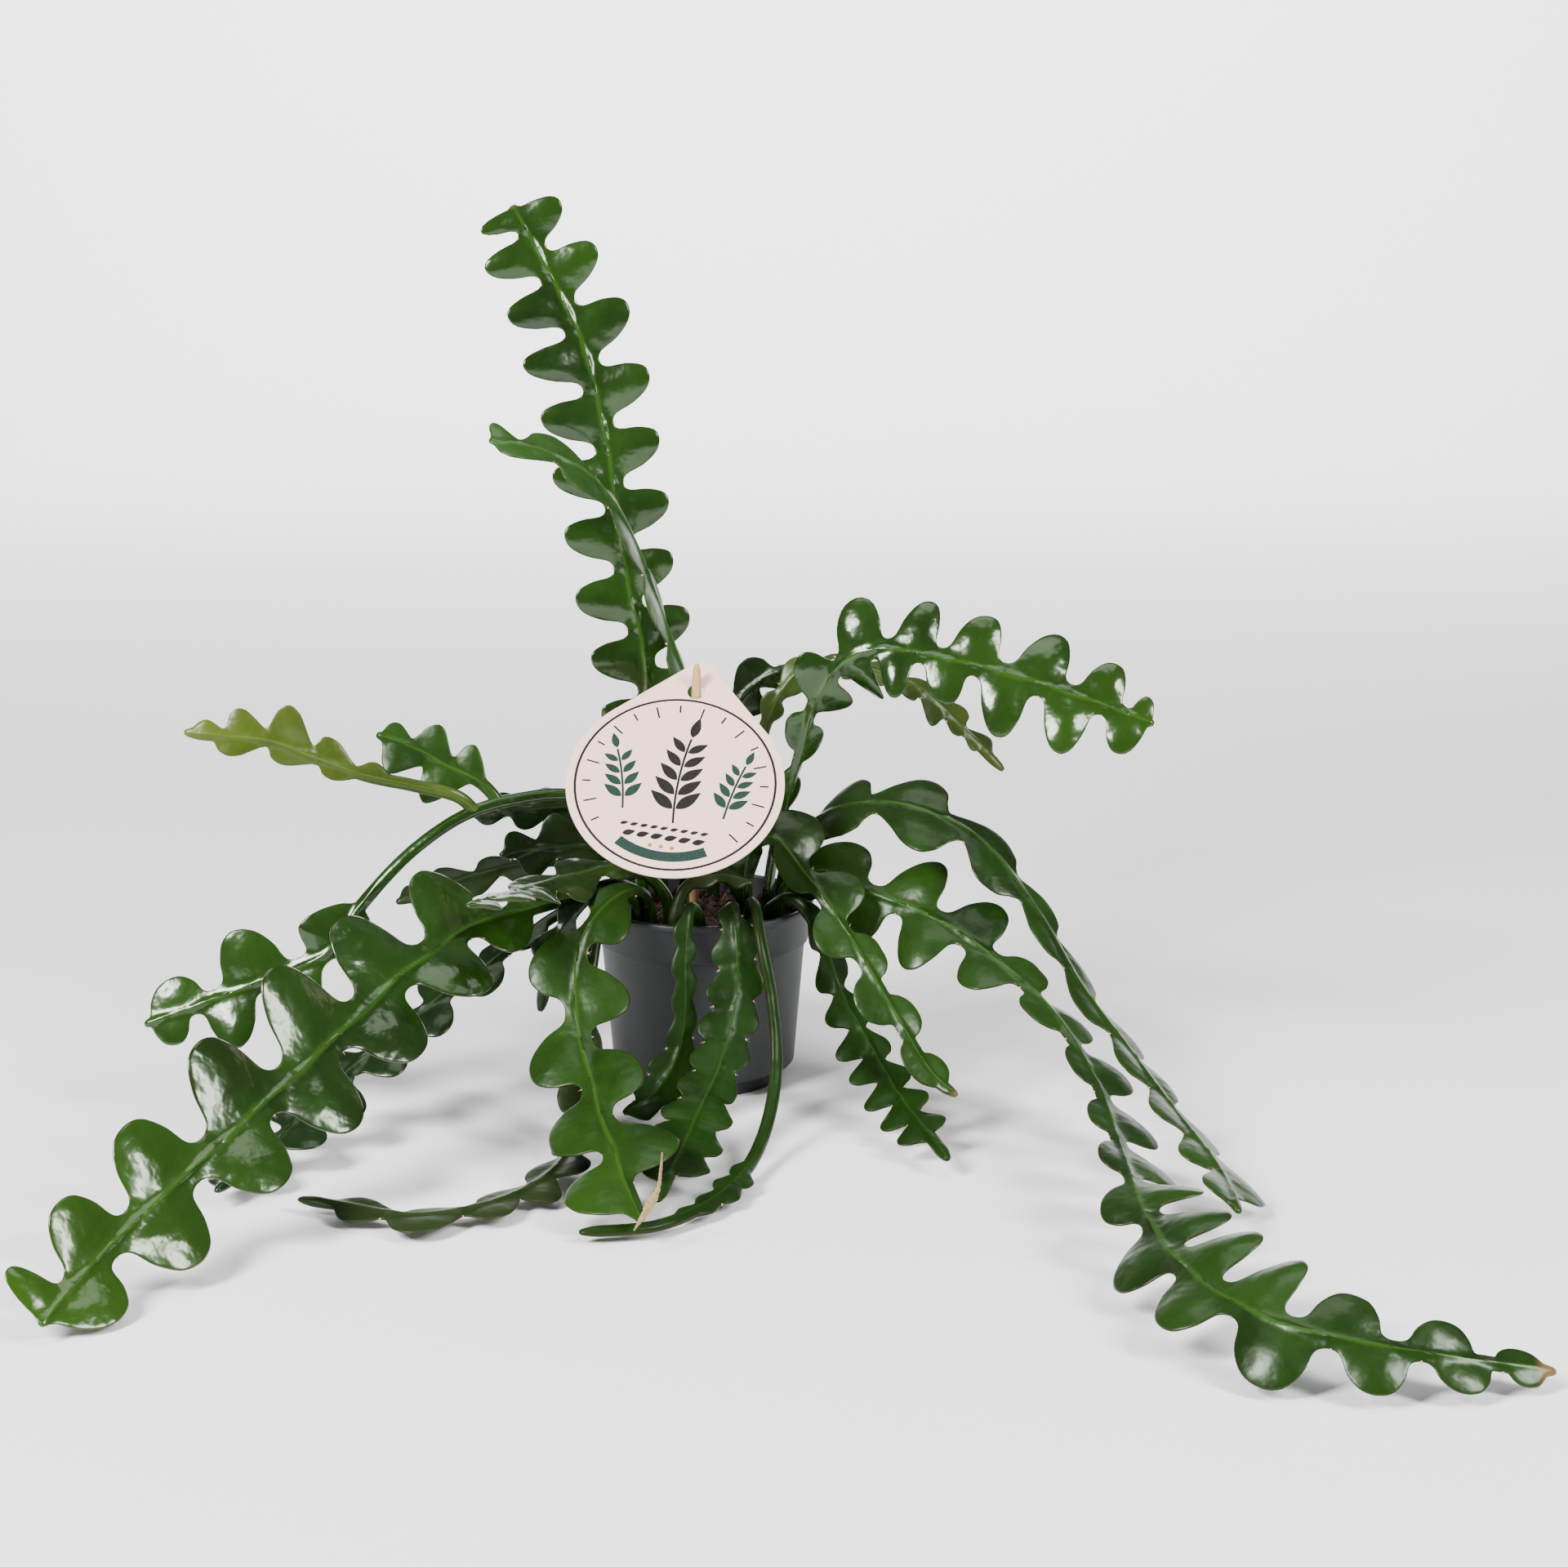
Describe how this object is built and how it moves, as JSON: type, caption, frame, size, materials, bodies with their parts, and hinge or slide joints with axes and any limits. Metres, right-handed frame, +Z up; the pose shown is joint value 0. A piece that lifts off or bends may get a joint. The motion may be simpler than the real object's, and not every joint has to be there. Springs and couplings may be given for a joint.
{
  "type": "fishbone cactus in a pot",
  "caption": "Potted epiphyte cactus with long flat stems, lobed on both sides like a fish bone, trailing over the rim, and a round label card on a stick",
  "frame": {"origin": "the middle of the pot's underside", "axes": "+Z up along the pot's axis, -Y the side that the label faces and that most stems trail to, +X to the right of it"},
  "size_m": [0.5811, 0.4489, 0.4142],
  "materials": {
    "pot_plastic": "moulded, matt, dark grey",
    "peat": "loose dark peat with fibres",
    "label_board": "smooth printed board, pale pink",
    "stick_wood": "plain birch",
    "stem_mid": "waxy plant tissue, mid green",
    "stem_light": "waxy plant tissue, light green",
    "stem_young": "waxy plant tissue, young green",
    "stem_olive": "waxy plant tissue, olive green",
    "stem_dark": "waxy plant tissue, dark green",
    "stem_dull": "duller plant tissue, grey green"
  },
  "bodies": {
    "root": {"pot": "pot_plastic", "soil": "peat", "label_stick": "stick_wood", "label_card": "label_board", "stem_tall": "stem_mid", "stem_tall_thin": "stem_young", "stem_right_arch": "stem_mid", "stem_right_slender": "stem_olive", "stem_back_short": "stem_dark", "stem_right_far": "stem_mid", "stem_right_long": "stem_mid", "stem_right_front": "stem_mid", "stem_right_hanging": "stem_dark", "stem_front_middle": "stem_mid", "stem_front_narrow": "stem_dark", "stem_front_left": "stem_light", "stem_front_thin": "stem_mid", "stem_left_ground": "stem_dull", "stem_left_big": "stem_mid", "stem_left_arch": "stem_mid", "stem_left_dark": "stem_dark", "stem_left_small": "stem_dark", "stem_left_glossy": "stem_mid", "stem_left_back": "stem_dull", "stem_across": "stem_dull", "stem_left_under": "stem_dark", "stem_left_stub": "stem_dark"}
  },
  "joints": []
}
